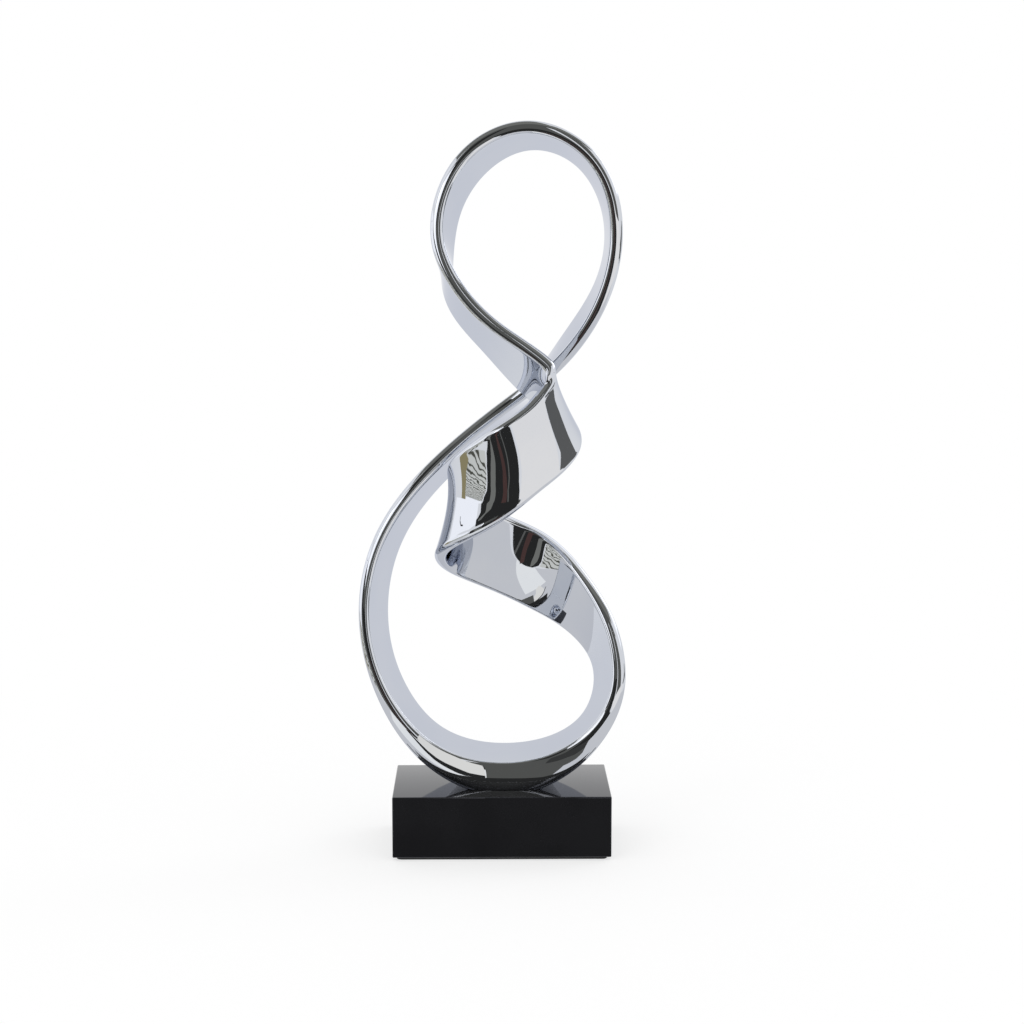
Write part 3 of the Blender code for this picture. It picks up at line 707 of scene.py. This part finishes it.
def rounded_box(low, high, edge):
    bm = bmesh.new()
    bmesh.ops.create_cube(bm, size=1.0)
    size = [h - l for l, h in zip(low, high)]
    middle = [(h + l) / 2 for l, h in zip(low, high)]
    bmesh.ops.scale(bm, vec=size, verts=bm.verts)
    bmesh.ops.translate(bm, vec=middle, verts=bm.verts)
    bmesh.ops.bevel(bm, geom=bm.edges[:], offset=edge, segments=EDGE_STEPS, profile=0.5,
                    affect="EDGES", clamp_overlap=True)
    return bm


def open_face(bm, level):
    """Takes out the large level face at a height and gives back its loop of vertices."""
    found = max((face for face in bm.faces
                 if all(abs(vert.co.z - level) < LEVEL_TOLERANCE for vert in face.verts)),
                key=lambda face: face.calc_area())
    loop = list(found.verts)
    bm.faces.remove(found)
    return loop


def make_block_mesh(settings, fixings, material):
    """The block with a counterbored hole for each screw."""
    bm = rounded_box(BLOCK_LOW, BLOCK_HIGH, settings.edge)
    below = [open_face(bm, BLOCK_LOW[2])]
    above = [open_face(bm, BLOCK_HIGH[2])]
    recess = BLOCK_LOW[2] + settings.recess
    for side in SIDES:
        centre = node_centre(side, "machine_screw")
        steps = [ring(bm, radius, height, HOLE_STEPS, centre) for radius, height in
                 ((settings.counterbore, BLOCK_LOW[2]), (settings.counterbore, recess),
                  (fixings.bore, recess), (fixings.bore, BLOCK_HIGH[2]))]
        bridge(bm, steps)
        below.append(steps[0])
        above.append(steps[-1])
    fill_between(bm, *below)
    fill_between(bm, *above)
    return add_mesh("base_block", bm, material)


def rounded_rectangle(low, high, corner, inset):
    points = []
    radius = corner - inset
    for number, (sx, sy) in enumerate(((1, 1), (-1, 1), (-1, -1), (1, -1))):
        cx = (high[0] if sx > 0 else low[0]) - sx * corner
        cy = (high[1] if sy > 0 else low[1]) - sy * corner
        for step in range(CORNER_STEPS + 1):
            angle = math.pi / 2 * (number + step / CORNER_STEPS)
            points.append((cx + radius * math.cos(angle), cy + radius * math.sin(angle)))
    return points


def make_pad_mesh(settings, material):
    """A sheet of foam whose cut edges are slightly rounded."""
    bm = bmesh.new()
    edge = settings.edge
    soft = edge * 0.3
    levels = ((edge, PAD_LOW[2]), (soft, PAD_LOW[2] + soft), (0.0, PAD_LOW[2] + edge),
              (0.0, PAD_HIGH[2] - edge), (soft, PAD_HIGH[2] - soft), (edge, PAD_HIGH[2]))
    rings = []
    for inset, height in levels:
        outline = rounded_rectangle(PAD_LOW, PAD_HIGH, settings.corner, inset)
        rings.append([bm.verts.new((x, y, height)) for x, y in outline])
    bridge(bm, rings)
    bm.faces.new(rings[0])
    bm.faces.new(rings[-1])
    return add_mesh("base_pad", bm, material, math.radians(50.0))


# Fixings

SHANK_STEPS = 40
INSERT_STEPS = 72
WASHER_STEPS = 72
ARC_STEPS = 5
ROWS_PER_TURN = 8
ROOT_FLAT = 0.12  # share of half a pitch that the thread's flat root takes
FLANK = 0.74  # share of half a pitch that its flank takes
INSERT_THREAD = 0.5 * MM  # depth of the insert's thread


def thread_share(row, steps):
    """How far out the thread is round a row of it, from 0 at its root to 1 at its crest."""
    turns = row / ROWS_PER_TURN + np.arange(steps) / steps
    return np.clip((np.abs((turns % 1.0) - 0.5) * 2.0 - ROOT_FLAT) / FLANK, 0.0, 1.0)


def make_screw_mesh(settings, material):
    """A socket head screw, point up, with the underside of its head at zero."""
    tip = SCREW_HIGH[2] - SCREW_LOW[2] - settings.head_height
    head = (SCREW_HIGH[0] - SCREW_LOW[0]) / 2
    low = -settings.head_height
    head_steps = 2 * SHANK_STEPS
    knurl = head - 0.12 * MM * (np.arange(head_steps) % 2)
    bm = bmesh.new()
    outside = ((head - 0.55 * MM, low), (head - 0.15 * MM, low + 0.25 * MM),
               (knurl, low + 0.7 * MM), (knurl, -0.9 * MM), (head - 0.12 * MM, -0.6 * MM),
               (head, -0.25 * MM), (head - 0.1 * MM, 0.0))
    head_rings = [ring(bm, radius, height, head_steps) for radius, height in outside]
    bridge(bm, head_rings)
    across = settings.hexagon / math.sqrt(3.0)
    floor = low + settings.hexagon_depth
    socket = [ring(bm, across, height, 6) for height in (low, floor)]
    bridge(bm, socket)
    point = bm.verts.new((0.0, 0.0, floor + 1.0 * MM))
    for k in range(6):
        bm.faces.new((socket[1][k], socket[1][(k + 1) % 6], point))
    fill_between(bm, head_rings[0], socket[0])
    start = tip - settings.thread
    chamfer = tip - 0.8 * MM
    rings = [ring(bm, settings.shank, height, SHANK_STEPS)
             for height in (0.0, 0.2 * MM, start - 0.3 * MM)]
    rows = int(round((tip - start) / settings.pitch * ROWS_PER_TURN))
    for row in range(rows + 1):
        height = start + (tip - start) * row / rows
        share = thread_share(row, SHANK_STEPS)
        runout = min(1.0, row / ROWS_PER_TURN)
        radius = settings.shank - (settings.shank - settings.root) * (1.0 - share) * runout
        limit = settings.shank - max(0.0, height - chamfer)
        rings.append(ring(bm, np.minimum(radius, limit), height, SHANK_STEPS))
    bridge(bm, rings)
    bm.faces.new(rings[-1])
    fill_between(bm, head_rings[-1], rings[0])
    return add_mesh("machine_screw", bm, material)


def make_insert_mesh(settings, material):
    """A knurled insert with a collar below and a thread inside, standing on zero."""
    tall = INSERT_HIGH[2] - INSERT_LOW[2]
    collar = (INSERT_HIGH[0] - INSERT_LOW[0]) / 2
    ridged = settings.insert_body - 0.25 * MM * (np.arange(INSERT_STEPS) % 2)
    plain = settings.insert_body - 0.35 * MM
    step = settings.collar_height
    bm = bmesh.new()
    outside = ((collar - 0.2 * MM, 0.0), (collar, 0.2 * MM), (collar, step - 0.2 * MM),
               (collar - 0.2 * MM, step), (plain, step), (plain, step + 0.6 * MM),
               (ridged, step + 0.9 * MM), (ridged, step + 3.6 * MM), (plain, step + 3.9 * MM),
               (plain, step + 4.9 * MM), (ridged, step + 5.2 * MM), (ridged, tall - 0.8 * MM),
               (plain, tall - 0.3 * MM), (plain - 0.3 * MM, tall))
    rings = [ring(bm, radius, height, INSERT_STEPS) for radius, height in outside]
    rows = int(round(tall / settings.pitch * ROWS_PER_TURN))
    for row in range(rows, -1, -1):
        height = tall * row / rows
        share = 1.0 - thread_share(row, INSERT_STEPS)
        flare = max(0.0, INSERT_THREAD - min(height, tall - height))
        radius = np.maximum(settings.bore + INSERT_THREAD * share, settings.bore + flare)
        rings.append(ring(bm, radius, height, INSERT_STEPS))
    bridge(bm, rings, closed=True)
    return add_mesh("threaded_insert", bm, material)


def make_washer_mesh(settings, material):
    """A stamped washer: rounded on the punch side, sharper on the other."""
    tall = WASHER_HIGH[2] - WASHER_LOW[2]
    rim = (WASHER_HIGH[0] - WASHER_LOW[0]) / 2
    bore = settings.bore
    soft = 0.35 * MM
    crisp = 0.10 * MM
    arc = [math.pi / 2 * step / ARC_STEPS for step in range(ARC_STEPS + 1)]
    outer = [(rim - soft * (1 - math.sin(angle)), tall - soft * (1 - math.cos(angle)))
             for angle in arc]
    inner = [(bore + soft * (1 - math.cos(angle)), tall - soft * (1 - math.sin(angle)))
             for angle in arc]
    under = [(rim, crisp), (rim - crisp, 0.0), (bore + crisp, 0.0), (bore, crisp)]
    bm = bmesh.new()
    rings = [ring(bm, radius, height, WASHER_STEPS) for radius, height in outer + under + inner]
    bridge(bm, rings, closed=True)
    return add_mesh("washer", bm, material)


# Studio

FLOOR_LEVEL = -0.1 * MM
FLOOR_BLEND = (0.18, 0.60)  # from shadowed paper to even white, away from the middle
LAMP_TARGET = (0.0, 0.0, 0.24)

# Each softbox's name, width, height, place, power and tint.
SOFTBOXES = (
    ("key", 1.1, 1.25, (-1.62, -2.32, 1.14), 7.6, (1.0, 1.0, 1.0)),
    ("rim", 1.0, 1.2, (2.1, 1.2, 1.5), 6.0, (0.98, 0.99, 1.0)),
)


def bare_tree(owner):
    """The emptied node tree of a new material or world."""
    owner.use_nodes = True
    owner.node_tree.nodes.clear()
    return owner.node_tree


def plain_shader(tree, kind, tone):
    shader = node(tree, kind)
    shader.inputs["Color"].default_value = (*tone, 1.0)
    return shader.outputs[0]


def join_shaders(tree, kind, *parts):
    joined = node(tree, kind)
    for socket, part in zip(joined.inputs, parts):
        tree.links.new(part, socket)
    return joined.outputs[0]


def put_out(tree, surface, kind="ShaderNodeOutputMaterial"):
    tree.links.new(surface, node(tree, kind).inputs["Surface"])


def clutter(tree):
    """Fine dark curves over pale grey."""
    waves = node(tree, "ShaderNodeTexWave", wave_type="BANDS", bands_direction="X")
    tree.links.new(object_place(tree), waves.inputs["Vector"])
    waves.inputs["Scale"].default_value = 4.5
    waves.inputs["Distortion"].default_value = 7.0
    waves.inputs["Detail"].default_value = 2.0
    waves.inputs["Detail Scale"].default_value = 2.0
    lines = ramp(tree, waves.outputs["Fac"], 0.05, 0.45)
    return mix_colours(tree, lines, (0.10, 0.10, 0.08), (0.80, 0.80, 0.74))


def card_material(name, tone):
    """A plain glowing tone, or clutter. A card seen once lets later reflections through."""
    material = bpy.data.materials.new(name)
    tree = bare_tree(material)
    glow = node(tree, "ShaderNodeEmission")
    if tone is None:
        tree.links.new(clutter(tree), glow.inputs["Color"])
    else:
        glow.inputs["Color"].default_value = (*tone, 1.0)
    surface = glow.outputs[0]
    if name in SEEN_ONCE:
        path = node(tree, "ShaderNodeLightPath")
        again = math_node(tree, "GREATER_THAN", path.outputs["Glossy Depth"], SECOND_BOUNCE)
        clear = node(tree, "ShaderNodeBsdfTransparent").outputs[0]
        surface = join_shaders(tree, "ShaderNodeMixShader", again, surface, clear)
    put_out(tree, surface)
    return material


def floor_material():
    """White near the object, where it takes the shadow, and even white further out."""
    material = bpy.data.materials.new("white floor")
    tree = bare_tree(material)
    reach = node(tree, "ShaderNodeVectorMath", operation="LENGTH")
    tree.links.new(object_place(tree), reach.inputs[0])
    away = ramp(tree, reach.outputs["Value"], *FLOOR_BLEND)
    paper = plain_shader(tree, "ShaderNodeBsdfDiffuse", (0.42, 0.42, 0.42))
    lift = plain_shader(tree, "ShaderNodeEmission", (0.64, 0.64, 0.64))
    near = join_shaders(tree, "ShaderNodeAddShader", paper, lift)
    far = plain_shader(tree, "ShaderNodeEmission", (1.0, 1.0, 1.0))
    put_out(tree, join_shaders(tree, "ShaderNodeMixShader", away, near, far))
    return material


def set_world(strength):
    """White where the camera or a polished surface looks, softer as a light."""
    world = bpy.data.worlds.new("studio")
    bpy.context.scene.world = world
    tree = bare_tree(world)
    path = node(tree, "ShaderNodeLightPath")
    seen = math_node(tree, "MAXIMUM", path.outputs["Is Camera Ray"],
                     path.outputs["Is Glossy Ray"])
    seen = math_node(tree, "MAXIMUM", seen, path.outputs["Is Transmission Ray"])
    level = math_node(tree, "MULTIPLY_ADD", seen, 1.0 - strength, strength)
    light = node(tree, "ShaderNodeBackground")
    light.inputs["Color"].default_value = (1.0, 1.0, 1.0, 1.0)
    tree.links.new(level, light.inputs["Strength"])
    put_out(tree, light.outputs[0], "ShaderNodeOutputWorld")


def add_sheet(name, corners, material):
    mesh = bpy.data.meshes.new(name)
    mesh.from_pydata(corners, [], [tuple(range(len(corners)))])
    mesh.materials.append(material)
    obj = add_object(name, mesh)
    return obj


def add_cards():
    """The cards, which only show in polished surfaces, each a step further in than the last."""
    for number, (name, axis, place, corners, tone) in enumerate(CARDS):
        level = place - math.copysign(number * CARD_STEP, place - CARD_STEP)
        column = "xyz".index(axis)
        spots = [(*corner[:column], level, *corner[column:]) for corner in corners]
        card = add_sheet(name, spots, card_material(name, tone))
        card.visible_camera = False
        card.visible_diffuse = False
        card.visible_shadow = False


def add_softbox(name, width, height, place, power, tint):
    lamp = bpy.data.lights.new(name, "AREA")
    lamp.shape = "RECTANGLE"
    lamp.size = width
    lamp.size_y = height
    lamp.energy = power
    lamp.color = tint
    softbox = add_object(name, lamp, place)
    softbox.visible_camera = False
    direction = Vector(LAMP_TARGET) - softbox.location
    softbox.rotation_euler = direction.to_track_quat("-Z", "Y").to_euler()


def add_camera(settings):
    data = bpy.data.cameras.new("camera")
    data.sensor_width = 36.0
    data.lens = settings.lens
    camera = add_object("camera", data, settings.camera_place)
    camera.rotation_euler = settings.camera_turn
    bpy.context.scene.camera = camera


class SCULPTURE_OT_ribbon(bpy.types.Operator):
    """Build the closed chrome ribbon with its flat foot"""
    bl_idname = "sculpture.ribbon"
    bl_label = "Build ribbon"

    def execute(self, context):
        settings = context.scene.sculpture_ribbon
        material = chrome_material(tuple(settings.chrome))
        mesh = make_ribbon_mesh(settings, context.scene.sculpture_fixings, material)
        add_piece("chrome_ribbon", mesh, "ribbon")
        return {"FINISHED"}


class SCULPTURE_OT_block(bpy.types.Operator):
    """Build the gloss black block with its screw holes"""
    bl_idname = "sculpture.block"
    bl_label = "Build block"

    def execute(self, context):
        settings = context.scene.sculpture_block
        material = lacquer_material(tuple(settings.black))
        mesh = make_block_mesh(settings, context.scene.sculpture_fixings, material)
        add_piece("black_block", mesh, "base_block")
        return {"FINISHED"}


class SCULPTURE_OT_pad(bpy.types.Operator):
    """Build the foam pad under the block"""
    bl_idname = "sculpture.pad"
    bl_label = "Build pad"

    def execute(self, context):
        settings = context.scene.sculpture_pad
        mesh = make_pad_mesh(settings, foam_material(tuple(settings.foam)))
        add_piece("foam_pad", mesh, "base_pad")
        return {"FINISHED"}


class SCULPTURE_OT_fixings(bpy.types.Operator):
    """Build the screws, washers and threaded inserts"""
    bl_idname = "sculpture.fixings"
    bl_label = "Build fixings"

    def execute(self, context):
        settings = context.scene.sculpture_fixings
        oxide = turned_metal_material("black oxide steel", tuple(settings.oxide),
                                      stain=(0.10, 0.10, 0.10), rough=0.28, groove_scale=3000.0)
        zinc = turned_metal_material("zinc plated steel", tuple(settings.zinc),
                                     stain=(0.50, 0.52, 0.53), rough=0.24, groove_scale=2000.0)
        brass = turned_metal_material("turned brass", tuple(settings.brass),
                                      stain=(0.62, 0.42, 0.18), rough=0.20, groove_scale=2500.0)
        screw = make_screw_mesh(settings, oxide)
        washer = make_washer_mesh(settings, zinc)
        insert = make_insert_mesh(settings, brass)
        head_top = SCREW_LOW[2] + settings.head_height
        for side in SIDES:
            place = node_centre(side, "machine_screw")
            add_piece(f"screw_{side}", screw, f"machine_screw_{side}",
                      (*place, head_top))
            add_piece(f"plain_washer_{side}", washer, f"washer_{side}",
                      (*place, WASHER_LOW[2]))
            add_piece(f"brass_insert_{side}", insert, f"threaded_insert_{side}",
                      (*place, INSERT_LOW[2]))
        return {"FINISHED"}


class SCULPTURE_OT_studio(bpy.types.Operator):
    """Set up the floor, the soft lights, the cards and the camera"""
    bl_idname = "sculpture.studio"
    bl_label = "Set up studio"

    def execute(self, context):
        settings = context.scene.sculpture_studio
        context.scene.view_settings.view_transform = "Standard"
        reach = settings.floor_radius
        corners = [(x * reach, y * reach, FLOOR_LEVEL)
                   for x, y in ((-1, -1), (1, -1), (1, 1), (-1, 1))]
        add_sheet("floor", corners, floor_material())
        set_world(settings.room_light)
        add_cards()
        for softbox in SOFTBOXES:
            add_softbox(*softbox)
        add_camera(settings)
        return {"FINISHED"}


class SCULPTURE_PT_panel(bpy.types.Panel):
    """Lists the sculpture's sizes and its building steps"""
    bl_idname = "SCULPTURE_PT_panel"
    bl_label = "Twisted Ribbon Sculpture"
    bl_space_type = "VIEW_3D"
    bl_region_type = "UI"
    bl_category = "Sculpture"

    def draw(self, context):
        for operator, group in STEPS:
            box = self.layout.box()
            settings = getattr(context.scene, group)
            for name in settings.bl_rna.properties.keys():
                if name not in ("rna_type", "name"):
                    box.prop(settings, name)
            box.operator(operator)


STEPS = (
    ("sculpture.pad", "sculpture_pad"),
    ("sculpture.block", "sculpture_block"),
    ("sculpture.ribbon", "sculpture_ribbon"),
    ("sculpture.fixings", "sculpture_fixings"),
    ("sculpture.studio", "sculpture_studio"),
)

SETTINGS = {
    "sculpture_ribbon": RibbonSettings,
    "sculpture_block": BlockSettings,
    "sculpture_pad": PadSettings,
    "sculpture_fixings": FixingSettings,
    "sculpture_studio": StudioSettings,
}

CLASSES = (
    *SETTINGS.values(),
    SCULPTURE_OT_ribbon,
    SCULPTURE_OT_block,
    SCULPTURE_OT_pad,
    SCULPTURE_OT_fixings,
    SCULPTURE_OT_studio,
    SCULPTURE_PT_panel,
)


def register():
    for cls in CLASSES:
        bpy.utils.register_class(cls)
    for name, cls in SETTINGS.items():
        setattr(bpy.types.Scene, name, bpy.props.PointerProperty(type=cls))


def unregister():
    for name in SETTINGS:
        delattr(bpy.types.Scene, name)
    for cls in reversed(CLASSES):
        bpy.utils.unregister_class(cls)


def main():
    register()
    bpy.ops.sculpture.pad()
    bpy.ops.sculpture.block()
    bpy.ops.sculpture.ribbon()
    bpy.ops.sculpture.fixings()
    bpy.ops.sculpture.studio()


if __name__ == "__main__":
    main()
